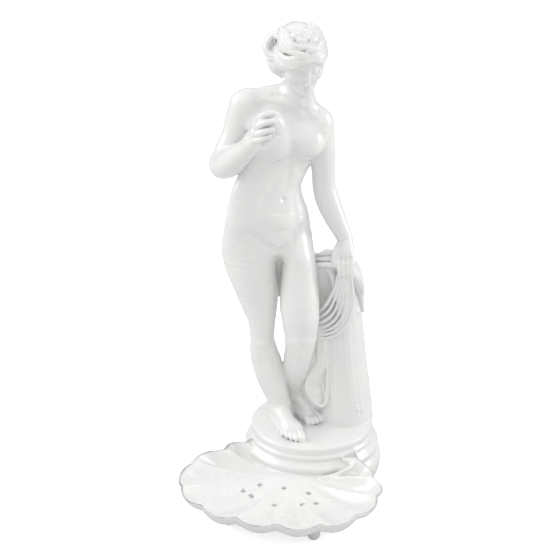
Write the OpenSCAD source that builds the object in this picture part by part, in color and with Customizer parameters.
// Glazed ceramic figurine with a scallop soap dish.
// A standing classical figure leans on a draped tree stump. The casting is
// assembled from separately moulded pieces that meet face to face and are
// joined with slip before the glaze firing.
//
// Row frame: +Z up, origin at the middle of the plinth's underside, the dish
// lies towards -Y. The figure is modelled in its own frame, which is turned
// about Z by figure_turn.

/* [Plinth] */
// Height of the plinth's top above the table
plinth_h = 38; // [34:1:42]
// Radius of the plinth's top disc
plinth_top_r = 43.5; // [41:0.5:46]
// Largest radius of the plinth, at its lower torus
plinth_foot_r = 49.5; // [48:0.5:53]
// Wall thickness of the hollow cast pieces
wall = 4.5; // [3.5:0.5:6]
// Diameter of the vent hole in the underside
vent_d = 7; // [5:1:10]

/* [Dish] */
// Distance of the shell's hinge point in front of the plinth's axis
hinge_y = 45; // [43:1:47]
// Height of the rim above the table
rim_z = 27; // [25:1:30]
// Height of the dish floor at the hinge
floor_z = 17.5; // [16:0.5:19]
// Thickness of the shell
shell_t = 4.2; // [3.5:0.1:5]
// Diameter of a drain hole
drain_d = 3.6; // [2.5:0.1:4.5]
// Width of one flute, as an angle seen from the hinge
flute_deg = 20; // [20]
// Sideways distance of each front foot from the middle
foot_x = 31; // [24:1:36]
// Distance of the front feet in front of the plinth's axis
foot_y = 95; // [88:1:100]

/* [Figure] */
// Turn of the figure about the vertical
figure_turn = 18; // [16:1:20]
// Radius of the apple
apple_r = 8.3; // [7:0.1:9]
// Radius of the stump at its base
stump_r = 19.5; // [18:0.5:20]
// Radius of the stump under the cloth
stump_top_r = 12.5; // [11:0.5:14]

/* [Hidden] */
glaze = [0.95, 0.95, 0.94];
pz = plinth_h;
fn_limb = 14;
apple_at = [-27, -38, 277];

// Drain holes: three to the left, two on the middle line, three to the right
drains = [[-26.5, -75], [-17.5, -64.5], [-18.5, -81.5], [0, -64.5], [0, -86],
          [17.5, -64.5], [26.5, -75], [18.5, -81.5]];

// ---------- figure shapes ----------
module ball(p, r) { translate(p) scale(r) sphere(1, $fn = fn_limb); }

// A row of ellipsoids [centre, radii], each blended into the next
module chain(s) {
    for (i = [0 : len(s) - 2])
        hull() { ball(s[i][0], s[i][1]); ball(s[i + 1][0], s[i + 1][1]); }
}

module figure() { rotate([0, 0, figure_turn]) children(); }

// Everything under the plinth's top face
module ground() { translate([-80, -80, -1]) cube([160, 160, pz + 1]); }

module torso_form() {
    chain([[[-32, 3, 174], [30.5, 17, 12]], [[-32, 2, 184], [31.5, 17, 14]],
           [[-32.5, 0, 199], [28, 15.5, 12]], [[-32.5, 0, 215], [24, 13.5, 9]],
           [[-29, 1, 231], [25.5, 14.5, 11]], [[-23.5, 2, 247], [28, 14.5, 12]],
           [[-21, 3, 260], [26, 12.5, 10]]]);
    // shoulders and the slope up to the neck
    hull() { ball([-43, 3, 275], [9.5, 9, 9.5]); ball([-24, 3, 264], [15, 10, 12]); }
    hull() { ball([4, 4, 262.5], [9, 8.5, 8.5]); ball([-14, 4, 263], [13, 9.5, 11]); }
    hull() { ball([-42, 4, 277], [8, 7, 7.5]); ball([-14, 4, 279], [10, 8, 8]); }
    hull() { ball([3, 4, 263], [8, 7, 7.5]); ball([-8, 4, 278], [9, 8, 7]); }
    hull() { ball([-30, -10, 255], [11, 9, 9]); ball([-31.5, -13, 250], [9.5, 8.5, 9]); }
    hull() { ball([-7, -8, 254], [11, 9, 9]); ball([-5, -11.5, 249], [9.5, 8.5, 9]); }
    hull() { ball([-43, 12, 177], [14, 10.5, 14]); ball([-40, 4, 190], [16, 12, 10]); }
    hull() { ball([-20, 11.5, 176], [14, 10.5, 14]); ball([-24, 4, 190], [16, 12, 10]); }
    hull() { ball([-25, -4, 172], [9, 9, 9]); ball([-26, -6, 184], [16, 11, 12]); }
}

module head_form() {
    chain([[[-12, 2.5, 280], [9.6, 9, 6]], [[-11.5, 1, 286], [9.4, 9.2, 7]],
           [[-11, -2, 294], [9.6, 10, 7]], [[-11, -3, 302], [10.5, 12, 7]]]);
    hull() { ball([-11, -7, 315], [15, 17, 16]); ball([-10, -6, 305], [13.6, 15, 12]); }
    hull() { ball([-10, -10, 306], [13, 12, 11]); ball([-8.5, -15.5, 293.5], [6.5, 5.5, 5]); }
    hull() { ball([-8.5, -16, 295], [6.5, 5.5, 5]); ball([-9, -19, 304], [7.5, 5, 7]); }
    // hair, swept back from the brow
    hull() { ball([-14, -2, 320], [17, 17, 14]); ball([-9, -2, 324.5], [15, 15, 12.5]); }
    hull() { ball([-24, 1, 309], [7, 11, 10]); ball([-21, -4, 318], [9, 11, 10]); }
    hull() { ball([2, -4, 310], [6.5, 11, 9]); ball([-1, -6, 318], [9, 11, 10]); }
    hull() { ball([-22, -8, 317], [7, 7, 7]); ball([0, -11, 315], [7, 7, 7]); }
}

module bun_form() {
    for (a = [0 : 40 : 320])
        hull() {
            translate([-24, 9, 317.5]) rotate([61, 0, -45]) translate([5.4 * cos(a), 7.2 * sin(a), 0]) sphere(4.4, $fn = 10);
            translate([-24, 9, 317.5]) rotate([61, 0, -45]) translate([5.4 * cos(a + 40), 7.2 * sin(a + 40), 0]) sphere(4.4, $fn = 10);
        }
}

module right_arm_form() {
    chain([[[-46, 3, 277], [9, 9.5, 9]], [[-50, 2, 266], [9.3, 9.5, 9]],
           [[-56, 0, 254], [8.5, 9, 8]], [[-61, -2, 243], [7.8, 8.5, 7]],
           [[-63.5, -4, 235], [8, 8, 8]]]);
    chain([[[-63.5, -5, 234], [8, 8, 8.5]], [[-58, -12, 240], [8.4, 8, 8]],
           [[-52, -20, 247], [7.2, 7, 7]], [[-46, -27, 254], [5.4, 5.4, 5.4]],
           [[-43, -30, 258], [4.8, 5, 4.8]]]);
}

module right_hand_form() {
    chain([[[-43, -30.5, 258.5], [6, 6, 5.6]], [[-40.5, -34, 264], [5.4, 5.4, 5.6]],
           [[-39, -37.5, 269.5], [3.6, 4.6, 5.6]], [[-38, -37, 276], [2.8, 3, 3]]]);
    // four fingers that close round the apple
    for (i = [0 : 3])
        chain([[[-38 - 0.5 * i, -37 - 1.3 * i, 277.5 - 4 * i], [2.3, 2.4, 2.3]],
               [[-36 - 0.6 * i, -41.5 - 1.6 * i, 282 - 5 * i], [2.1, 2.2, 2.1]],
               [[-32.2 - 0.6 * i, -43.6 - 1.6 * i, 285 - 5.2 * i], [1.9, 2, 1.9]],
               [[-27 - 1.0 * i, -43.2 - 1.6 * i, 286 - 5 * i], [1.7, 1.8, 1.7]]]);
    chain([[[-40, -31.5, 262.5], [3.4, 3.4, 3.4]], [[-35.5, -33, 262], [2.8, 2.8, 2.8]],
           [[-31, -36, 264.5], [2.3, 2.3, 2.3]], [[-28.5, -38.5, 267.5], [1.9, 1.9, 1.9]]]);
}

module left_arm_form() {
    chain([[[4, 4, 264], [9, 9, 9]], [[6, 5, 252], [8.8, 8.8, 9]],
           [[7, 6, 240], [8.3, 8.5, 8]], [[7, 7, 228], [7.8, 8, 8]],
           [[7, 8, 216], [7.6, 7.8, 7.6]]]);
    chain([[[7, 8, 215], [7.6, 7.8, 7.6]], [[10, 6.5, 206], [8, 7.6, 7.6]],
           [[15, 5, 194], [7, 6.6, 7]], [[20, 3.5, 183], [5.6, 5, 6]],
           [[22.5, 2, 177], [5.2, 4.4, 5]]]);
}

module left_hand_form() {
    chain([[[22.5, 2, 177], [5, 4.4, 5]], [[22, -1.5, 170], [6.6, 4, 6]],
           [[22.5, -6, 163], [7.6, 3.8, 5]]]);
    for (i = [0 : 3])
        chain([[[16.8 + 3.6 * i, -7.5, 162 - abs(i - 1.4) * 0.7], [2.2, 2.3, 2.6]],
               [[17.4 + 3.5 * i, -10, 157 - abs(i - 1.4) * 0.7], [2, 2.2, 2.6]],
               [[18 + 3.2 * i, -10.5, 151.5 + abs(i - 1.4) * 0.7], [1.8, 2, 2.4]]]);
    chain([[[18.5, -2, 172], [2.6, 2.8, 3]], [[14.5, -6, 166], [2.4, 2.5, 3]],
           [[13.5, -8, 160], [2, 2.2, 2.6]]]);
}

module right_leg_form() {
    chain([[[-44, 1, 172], [18, 16.5, 14]], [[-42.5, 0, 158], [17.5, 16.5, 12]],
           [[-39, -2, 138], [14, 14.5, 10]], [[-35.8, -4, 120], [10, 11, 8]],
           [[-35.4, -5, 106], [8.8, 9.5, 8]], [[-33.5, -2, 90], [10.6, 10.5, 9]],
           [[-29.5, -1, 72], [9.6, 9.6, 9]], [[-24.5, -2, 54], [6.6, 7.2, 6]],
           [[-23, -3.5, 46], [6.4, 7, 6]]]);
    hull() { ball([-23.5, 0.5, 43], [6, 7, 6.5]); ball([-18, -13, 43], [6.8, 6.8, 5.6]); }
    hull() { ball([-18, -13, 43], [6.8, 6.8, 5.6]); ball([-14.5, -22, 41], [8, 5.5, 3.6]); }
    for (i = [0 : 4])
        hull() {
            ball([-9.5 - 2.9 * i, -24.5 + i * 1.7, 40.3], [2.4 - 0.12 * i, 3, 2.6]);
            ball([-7.6 - 3.1 * i, -31 + i * 2, 40], [2.2 - 0.14 * i, 2.4, 2]);
        }
}

module left_leg_form() {
    chain([[[-14, 0, 172], [17, 16, 14]], [[-11.5, -3, 160], [15.2, 15, 12]],
           [[-9.5, -8, 148], [13.4, 13.5, 10]], [[-7.6, -14, 128], [11.8, 12, 9]],
           [[-7.6, -17, 112], [10.2, 10, 8]], [[-8.5, -10, 98], [10, 9.6, 8]],
           [[-10.5, 0, 80], [9.2, 9.2, 8]], [[-10.5, 9, 63], [6, 6.6, 6]],
           [[-9.8, 13, 52], [5.6, 6.4, 6]]]);
    hull() { ball([-10.8, 16, 44], [5.6, 6, 6.4]); ball([-4.5, 5, 43], [6.4, 6.2, 5.4]); }
    hull() { ball([-4.5, 5, 43], [6.4, 6.2, 5.4]); ball([0, -1.5, 41], [7.4, 5, 3.6]); }
    for (i = [0 : 4])
        hull() {
            ball([-3.4 + 2.6 * i, -5.5 + i * 1.5, 40.3], [2.3 - 0.12 * i, 2.8, 2.5]);
            ball([-0.6 + 2.6 * i, -10.6 + i * 1.6, 40], [2.1 - 0.12 * i, 2.3, 2]);
        }
}

module stump_form(off = 0, z0 = 38) {
    chain([[[24, 7, z0 + off], [stump_r - off, stump_r - off, 0.6]],
           [[23, 7.5, 52], [stump_r - 0.6 - off, stump_r - 0.6 - off, 0.6]],
           [[21.5, 8, 70], [stump_r - 1.2 - off, stump_r - 1.2 - off, 0.6]],
           [[20.5, 8.5, 90], [stump_r - 2 - off, stump_r - 2 - off, 0.6]],
           [[19, 9, 110], [stump_r - 3 - off, stump_r - 3 - off, 0.6]],
           [[17, 9.5, 130], [stump_r - 4.6 - off, stump_r - 4.6 - off, 0.6]],
           [[15.5, 10, 145], [stump_r - 5.8 - off, stump_r - 5.8 - off, 0.6]],
           [[14.5, 10, 155 - off], [stump_top_r - off, stump_top_r - off, 0.6]]]);
}

// Cloth over the stump, gathered under the hand and hanging in a swag
module drapery_form() {
    chain([[[2, 8, 158], [3.5, 9, 4.5]], [[9, 4, 161], [8, 9, 4.5]],
           [[17, 4, 162], [9, 9, 5]], [[25, 6, 160], [6, 9, 5]]]);
    chain([[[17, -4, 158], [9, 6, 5]], [[19, -9, 148], [9, 4.5, 6]],
           [[18, -10, 132], [11, 4, 8]], [[14, -9, 116], [11, 4.5, 7]],
           [[9, -8.5, 106], [7, 4, 5]]]);
    chain([[[5, -3, 154], [5, 4.5, 5]], [[4, -5, 138], [5, 4.5, 7]],
           [[4, -7, 120], [5, 4.5, 7]], [[5, -8, 108], [4.5, 4, 5]]]);
    chain([[[25, -3, 158], [4, 5, 4]], [[30, -2, 150], [3.4, 6, 6]], [[33, -1, 138], [2, 4.5, 5]],
           [[34, 2, 127], [1.6, 3.5, 4]]]);
    chain([[[26, 8, 156], [4, 6, 5]], [[31, 10, 144], [3, 6, 6]], [[32.5, 12, 132], [1.8, 4, 4]]]);
}

// Loose end of the cloth, hanging between the leg and the stump
module cloth_fall_form() {
    chain([[[6, -5.5, 106], [6, 3, 3]], [[6, -6, 90], [6.2, 3, 3]],
           [[6.2, -7, 74], [6.2, 3, 3]], [[6.2, -8, 62], [6, 3, 3]],
           [[6, -9, 54], [4.6, 2.6, 3]]]);
}

// ---------- plinth and dish ----------
module plinth_profile() {
    polygon([[0, 0], [plinth_foot_r - 2.5, 0], [plinth_foot_r - 1.2, 1.2], [plinth_foot_r - 0.3, 4],
             [plinth_foot_r, 8], [plinth_foot_r - 0.2, 12], [plinth_foot_r - 1.4, 15.5],
             [plinth_foot_r - 2.6, 17.6], [plinth_foot_r - 2.9, 19.2], [plinth_foot_r - 1.9, 21.2],
             [plinth_foot_r - 1.9, 23.4], [plinth_foot_r - 3.2, 25.2], [plinth_top_r + 1.6, 26.6],
             [plinth_top_r + 0.7, 28], [plinth_top_r + 1.1, 29.6], [plinth_top_r + 0.4, 31],
             [plinth_top_r - 0.4, 32.4], [plinth_top_r, 34], [plinth_top_r, pz - 1],
             [plinth_top_r - 1, pz], [0, pz]]);
}

// Radius of the rim seen from the hinge, at the scallops' crests; the shell is a little wider on its right
function rim_r(a) = a > 0
    ? lookup(a, [[0, 86], [10, 86.5], [20, 87.5], [30, 88], [40, 87], [50, 85], [60, 81], [70, 76], [80, 69],
                 [90, 62], [100, 55], [110, 49.5], [120, 43], [130, 36], [150, 27], [180, 24]])
    : lookup(-a, [[0, 86], [10, 86.5], [20, 87.5], [30, 88], [40, 87.5], [50, 86], [60, 81], [70, 74], [80, 63],
                  [90, 53.5], [100, 49], [110, 45.5], [120, 41], [130, 34], [150, 26], [180, 24]]);
function lobe(a) = abs(sin((a + flute_deg / 2) * 180 / flute_deg));
function reach(a, s) = s * (rim_r(a) - 3 + 3 * lobe(a));
function bowl(s) = 0.15 * s + 0.85 * pow(s, 3);
function rim_lift(a) = abs(a) > 95 ? min(7, (abs(a) - 95) * 0.25) : 0;
function top_z(a, s) = floor_z - 1.5 * sin(180 * min(1, s * 1.1)) + (rim_z + rim_lift(a) - floor_z) * bowl(s)
                       + 1.8 * (1 - lobe(a)) * s * s;
function under_z(a, s) = top_z(a, s) - shell_t - 1.5 * sin(180 * s) - 0.6 * s;
step_a = flute_deg / 4;
angs = [for (a = [-180 : step_a : 180 - step_a]) a];
rings = [0.12, 0.3, 0.48, 0.66, 0.82, 0.93, 1];
na = len(angs);
nr = len(rings);
function at(a, r, z) = [r * sin(a), -hinge_y - r * cos(a), z];

module dish_form() {
    pts = concat(
        [for (s = rings) for (a = angs) at(a, reach(a, s), top_z(a, s))],
        [for (s = rings) for (a = angs) at(a, reach(a, s) - (s == 1 ? 1.2 : 0), s == 1 ? top_z(a, s) - shell_t * 0.75 : under_z(a, s))],
        [[0, -hinge_y, top_z(0, 0)], [0, -hinge_y, under_z(0, 0)]]);
    t = 0;
    u = na * nr;
    faces = concat(
        [for (i = [0 : na - 1]) [2 * u, t + (i + 1) % na, t + i]],
        [for (k = [0 : nr - 2]) for (i = [0 : na - 1]) let (j = (i + 1) % na)
            each [[t + k * na + i, t + k * na + j, t + (k + 1) * na + j], [t + k * na + i, t + (k + 1) * na + j, t + (k + 1) * na + i]]],
        [for (i = [0 : na - 1]) let (j = (i + 1) % na, k = (nr - 1) * na)
            each [[t + k + i, t + k + j, u + k + j], [t + k + i, u + k + j, u + k + i]]],
        [for (k = [0 : nr - 2]) for (i = [0 : na - 1]) let (j = (i + 1) % na)
            each [[u + k * na + j, u + k * na + i, u + (k + 1) * na + j], [u + k * na + i, u + (k + 1) * na + i, u + (k + 1) * na + j]]],
        [for (i = [0 : na - 1]) [2 * u + 1, u + i, u + (i + 1) % na]]);
    polyhedron(points = pts, faces = faces, convexity = 6);
}

module plinth() {
    color(glaze) difference() {
        rotate_extrude($fn = 96) plinth_profile();
        // hollow casting, open only at the vent
        translate([0, 0, wall]) cylinder(h = pz - 2 * wall, r = plinth_top_r - wall, $fn = 96);
        translate([0, 0, wall]) cylinder(h = 14, r = plinth_foot_r - wall - 2, $fn = 96);
        translate([0, 26, -1]) cylinder(h = wall + 2, d = vent_d, $fn = 32);
    }
}

module shell_dish() {
    color(glaze) difference() {
        union() {
            dish_form();
            // bosses for the two front feet
            for (s = [-1, 1]) translate([s * foot_x, -foot_y, 6.5]) cylinder(h = 7.5, r = 5, $fn = 24);
        }
        rotate_extrude($fn = 96) plinth_profile();
        for (d = drains)
            hull() {
                translate([d[0], d[1], 2]) cylinder(h = 1, d = drain_d, $fn = 16);
                translate([d[0], d[1], 30]) cylinder(h = 1, d = drain_d, $fn = 16);
            }
    }
}

module front_feet() {
    color(glaze) for (s = [-1, 1]) translate([s * foot_x, -foot_y, 0])
        rotate_extrude($fn = 32) polygon([[0, 0], [2, 0], [3.2, 0.6], [4, 2], [4.6, 4.5], [5, 6.5], [0, 6.5]]);
}

module tree_stump() {
    color(glaze) figure() difference() {
        stump_form();
        stump_form(off = wall, z0 = 32);
        ground();
        left_leg_form();
    }
}

module drapery() {
    color(glaze) figure() difference() {
        drapery_form();
        stump_form();
        left_hand_form();
        left_arm_form();
        left_leg_form();
    }
}

module cloth_fall() {
    color(glaze) figure() difference() {
        cloth_fall_form();
        stump_form();
        drapery_form();
        left_leg_form();
        ground();
    }
}

module torso() { color(glaze) figure() torso_form(); }

module head() {
    color(glaze) figure() difference() {
        head_form();
        torso_form();
        // the head is moulded with the neck, down to the shoulders
        translate([-60, -60, 200]) cube([120, 120, 77]);
    }
}

module hair_bun() { color(glaze) figure() difference() { bun_form(); head_form(); } }

module right_arm() { color(glaze) figure() difference() { right_arm_form(); torso_form(); } }

module right_hand() {
    color(glaze) figure() difference() {
        right_hand_form();
        right_arm_form();
        ball(apple_at, [apple_r, apple_r, apple_r]);
        torso_form();
    }
}

module apple() {
    color(glaze) figure() difference() {
        ball(apple_at, [apple_r, apple_r, apple_r]);
        translate(apple_at + [0, 0, apple_r]) sphere(1.6, $fn = 14);
    }
}

module left_arm() { color(glaze) figure() difference() { left_arm_form(); torso_form(); } }

module left_hand() { color(glaze) figure() difference() { left_hand_form(); left_arm_form(); stump_form(); } }

module right_leg() { color(glaze) figure() difference() { right_leg_form(); torso_form(); ground(); } }

module left_leg() {
    color(glaze) figure() difference() { left_leg_form(); torso_form(); right_leg_form(); ground(); }
}

plinth();
shell_dish();
front_feet();
tree_stump();
drapery();
cloth_fall();
torso();
head();
hair_bun();
right_arm();
right_hand();
apple();
left_arm();
left_hand();
right_leg();
left_leg();
